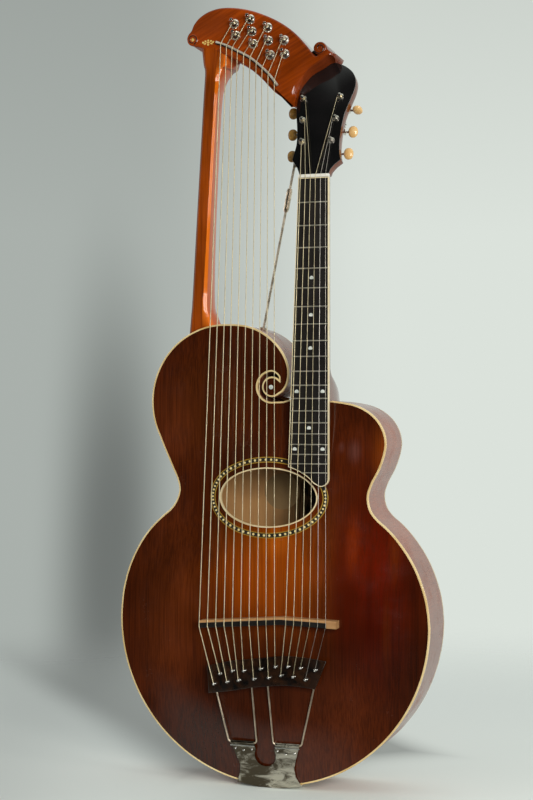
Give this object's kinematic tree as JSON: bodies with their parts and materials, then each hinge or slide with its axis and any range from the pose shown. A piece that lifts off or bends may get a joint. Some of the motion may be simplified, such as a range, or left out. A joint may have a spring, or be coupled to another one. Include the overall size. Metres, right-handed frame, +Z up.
{
  "type": "harp guitar",
  "caption": "Harp guitar with a carved cutaway body, oval soundhole and fretted neck, plus a side column and arched head carrying open sub-bass strings over a shared bridge and tailpiece.",
  "frame": {"origin": "middle of the flat facet under the tailpiece bracket's foot, below the lowest point of the body and halfway through its depth", "axes": "+Z up along the neck, +X to the treble side, -Y towards the listener (the top faces -Y)"},
  "size_m": [0.463, 0.1513, 1.1265],
  "materials": {
    "dark_varnished_wood": "gloss varnish, dark sunburst",
    "amber_varnished_wood": "gloss varnish, reddish amber",
    "ivoroid": "polished, yellowed",
    "ebony": "satin",
    "black_veneer": "gloss black",
    "bone": "satin",
    "light_wood": "satin varnish",
    "dark_celluloid": "polished",
    "nickel_plate": "worn nickel plate",
    "amber_celluloid": "polished, aged",
    "dark_steel": "dulled",
    "wound_string": "wound, dull bronze",
    "plain_string": "bright"
  },
  "bodies": {
    "guitar": {"harp_string_1": "wound_string", "harp_string_2": "wound_string", "harp_string_3": "wound_string", "harp_string_4": "wound_string", "harp_string_5": "wound_string", "harp_string_6": "wound_string", "harp_string_7": "wound_string", "harp_string_8": "wound_string", "harp_string_9": "wound_string", "harp_string_10": "wound_string", "neck_string_1": "plain_string", "neck_string_2": "plain_string", "neck_string_3": "wound_string", "neck_string_4": "wound_string", "neck_string_5": "wound_string", "neck_string_6": "wound_string", "top_plate": "dark_varnished_wood", "back_plate": "dark_varnished_wood", "rim": "dark_varnished_wood", "top_binding": "ivoroid", "back_binding": "ivoroid", "neck": "amber_varnished_wood", "headstock_veneer": "black_veneer", "fretboard": "ebony", "nut": "bone", "bridge_base": "light_wood", "bridge_saddle": "ebony", "tailpiece_bracket": "nickel_plate", "harp_column": "amber_varnished_wood", "harp_head": "amber_varnished_wood", "harp_nut": "bone", "brace_rod_upper": "dark_steel", "brace_rod_lower": "dark_steel", "tuner_plate_bass": "nickel_plate", "tuner_plate_treble": "nickel_plate"},
    "tuner_button_bass_1": {"tuner_button_bass_1": "amber_celluloid"},
    "string_post_bass_1": {"string_post_bass_1": "nickel_plate"},
    "tuner_button_bass_2": {"tuner_button_bass_2": "amber_celluloid"},
    "string_post_bass_2": {"string_post_bass_2": "nickel_plate"},
    "tuner_button_bass_3": {"tuner_button_bass_3": "amber_celluloid"},
    "string_post_bass_3": {"string_post_bass_3": "nickel_plate"},
    "tuner_button_treble_1": {"tuner_button_treble_1": "amber_celluloid"},
    "string_post_treble_1": {"string_post_treble_1": "nickel_plate"},
    "tuner_button_treble_2": {"tuner_button_treble_2": "amber_celluloid"},
    "string_post_treble_2": {"string_post_treble_2": "nickel_plate"},
    "tuner_button_treble_3": {"tuner_button_treble_3": "amber_celluloid"},
    "string_post_treble_3": {"string_post_treble_3": "nickel_plate"},
    "harp_pin_1": {"harp_pin_1": "nickel_plate"},
    "harp_pin_2": {"harp_pin_2": "nickel_plate"},
    "harp_pin_3": {"harp_pin_3": "nickel_plate"},
    "harp_pin_4": {"harp_pin_4": "nickel_plate"},
    "harp_pin_5": {"harp_pin_5": "nickel_plate"},
    "harp_pin_6": {"harp_pin_6": "nickel_plate"},
    "harp_pin_7": {"harp_pin_7": "nickel_plate"},
    "harp_pin_8": {"harp_pin_8": "nickel_plate"},
    "harp_pin_9": {"harp_pin_9": "nickel_plate"},
    "harp_pin_10": {"harp_pin_10": "nickel_plate"},
    "turnbuckle": {"turnbuckle": "dark_steel"},
    "tailpiece": {"tailpiece_frame": "nickel_plate", "tailpiece_crosspiece": "dark_celluloid"}
  },
  "joints": [
    {"name": "turn_tuner_button_bass_1", "type": "hinge", "parent": "guitar", "child": "tuner_button_bass_1", "pos_m": [0.0411, -0.02197, 0.90563], "axis": [1, 0, 0], "continuous": true},
    {"name": "turn_string_post_bass_1", "type": "hinge", "parent": "guitar", "child": "string_post_bass_1", "pos_m": [0.0411, -0.04005, 0.9224], "axis": [0, 0.9703, -0.2419], "continuous": true},
    {"name": "turn_tuner_button_bass_2", "type": "hinge", "parent": "guitar", "child": "tuner_button_bass_2", "pos_m": [0.03947, -0.01382, 0.93833], "axis": [1, 0, 0], "continuous": true},
    {"name": "turn_string_post_bass_2", "type": "hinge", "parent": "guitar", "child": "string_post_bass_2", "pos_m": [0.03947, -0.0319, 0.9551], "axis": [0, 0.9703, -0.2419], "continuous": true},
    {"name": "turn_tuner_button_bass_3", "type": "hinge", "parent": "guitar", "child": "tuner_button_bass_3", "pos_m": [0.03792, -0.00567, 0.97103], "axis": [1, 0, 0], "continuous": true},
    {"name": "turn_string_post_bass_3", "type": "hinge", "parent": "guitar", "child": "string_post_bass_3", "pos_m": [0.03792, -0.02374, 0.9878], "axis": [0, 0.9703, -0.2419], "continuous": true},
    {"name": "turn_tuner_button_treble_1", "type": "hinge", "parent": "guitar", "child": "tuner_button_treble_1", "pos_m": [0.08453, -0.02197, 0.90563], "axis": [1, 0, 0], "continuous": true},
    {"name": "turn_string_post_treble_1", "type": "hinge", "parent": "guitar", "child": "string_post_treble_1", "pos_m": [0.08453, -0.04005, 0.9224], "axis": [0, 0.9703, -0.2419], "continuous": true},
    {"name": "turn_tuner_button_treble_2", "type": "hinge", "parent": "guitar", "child": "tuner_button_treble_2", "pos_m": [0.08892, -0.01382, 0.93833], "axis": [1, 0, 0], "continuous": true},
    {"name": "turn_string_post_treble_2", "type": "hinge", "parent": "guitar", "child": "string_post_treble_2", "pos_m": [0.08892, -0.0319, 0.9551], "axis": [0, 0.9703, -0.2419], "continuous": true},
    {"name": "turn_tuner_button_treble_3", "type": "hinge", "parent": "guitar", "child": "tuner_button_treble_3", "pos_m": [0.0933, -0.00567, 0.97103], "axis": [1, 0, 0], "continuous": true},
    {"name": "turn_string_post_treble_3", "type": "hinge", "parent": "guitar", "child": "string_post_treble_3", "pos_m": [0.0933, -0.02374, 0.9878], "axis": [0, 0.9703, -0.2419], "continuous": true},
    {"name": "turn_harp_pin_1", "type": "hinge", "parent": "guitar", "child": "harp_pin_1", "pos_m": [-0.06407, -0.037, 1.10106], "axis": [0, 0.9781, -0.2079], "continuous": true},
    {"name": "turn_harp_pin_2", "type": "hinge", "parent": "guitar", "child": "harp_pin_2", "pos_m": [-0.06192, -0.037, 1.084], "axis": [0, 0.9781, -0.2079], "continuous": true},
    {"name": "turn_harp_pin_3", "type": "hinge", "parent": "guitar", "child": "harp_pin_3", "pos_m": [-0.04004, -0.037, 1.10605], "axis": [0, 0.9781, -0.2079], "continuous": true},
    {"name": "turn_harp_pin_4", "type": "hinge", "parent": "guitar", "child": "harp_pin_4", "pos_m": [-0.03704, -0.037, 1.08802], "axis": [0, 0.9781, -0.2079], "continuous": true},
    {"name": "turn_harp_pin_5", "type": "hinge", "parent": "guitar", "child": "harp_pin_5", "pos_m": [-0.0349, -0.037, 1.06999], "axis": [0, 0.9781, -0.2079], "continuous": true},
    {"name": "turn_harp_pin_6", "type": "hinge", "parent": "guitar", "child": "harp_pin_6", "pos_m": [-0.01302, -0.037, 1.09205], "axis": [0, 0.9781, -0.2079], "continuous": true},
    {"name": "turn_harp_pin_7", "type": "hinge", "parent": "guitar", "child": "harp_pin_7", "pos_m": [-0.01195, -0.037, 1.07305], "axis": [0, 0.9781, -0.2079], "continuous": true},
    {"name": "turn_harp_pin_8", "type": "hinge", "parent": "guitar", "child": "harp_pin_8", "pos_m": [-0.00894, -0.037, 1.05196], "axis": [0, 0.9781, -0.2079], "continuous": true},
    {"name": "turn_harp_pin_9", "type": "hinge", "parent": "guitar", "child": "harp_pin_9", "pos_m": [0.01208, -0.037, 1.07192], "axis": [0, 0.9781, -0.2079], "continuous": true},
    {"name": "turn_harp_pin_10", "type": "hinge", "parent": "guitar", "child": "harp_pin_10", "pos_m": [0.01294, -0.037, 1.05196], "axis": [0, 0.9781, -0.2079], "continuous": true},
    {"name": "turn_turnbuckle", "type": "hinge", "parent": "guitar", "child": "turnbuckle", "pos_m": [0.01496, -0.02409, 0.842], "axis": [0.2226, -0.1001, 0.9698], "continuous": true},
    {"name": "tilt_tailpiece", "type": "hinge", "parent": "guitar", "child": "tailpiece", "pos_m": [-0.0035, -0.06237, 0.064], "axis": [1, 0, 0], "range_deg": [-1.5, 4], "stiffness_Nm_per_rad": 8, "deforming": ["harp_string_1", "harp_string_2", "harp_string_3", "harp_string_4", "harp_string_5", "harp_string_6", "harp_string_7", "harp_string_8", "harp_string_9", "harp_string_10", "neck_string_1", "neck_string_2", "neck_string_3", "neck_string_4", "neck_string_5", "neck_string_6"]}
  ],
  "couplings": [
    {"joint": "turn_string_post_bass_1", "follows": "turn_tuner_button_bass_1", "ratio": 0.071429},
    {"joint": "turn_string_post_bass_2", "follows": "turn_tuner_button_bass_2", "ratio": 0.071429},
    {"joint": "turn_string_post_bass_3", "follows": "turn_tuner_button_bass_3", "ratio": 0.071429},
    {"joint": "turn_string_post_treble_1", "follows": "turn_tuner_button_treble_1", "ratio": 0.071429},
    {"joint": "turn_string_post_treble_2", "follows": "turn_tuner_button_treble_2", "ratio": 0.071429},
    {"joint": "turn_string_post_treble_3", "follows": "turn_tuner_button_treble_3", "ratio": 0.071429}
  ]
}
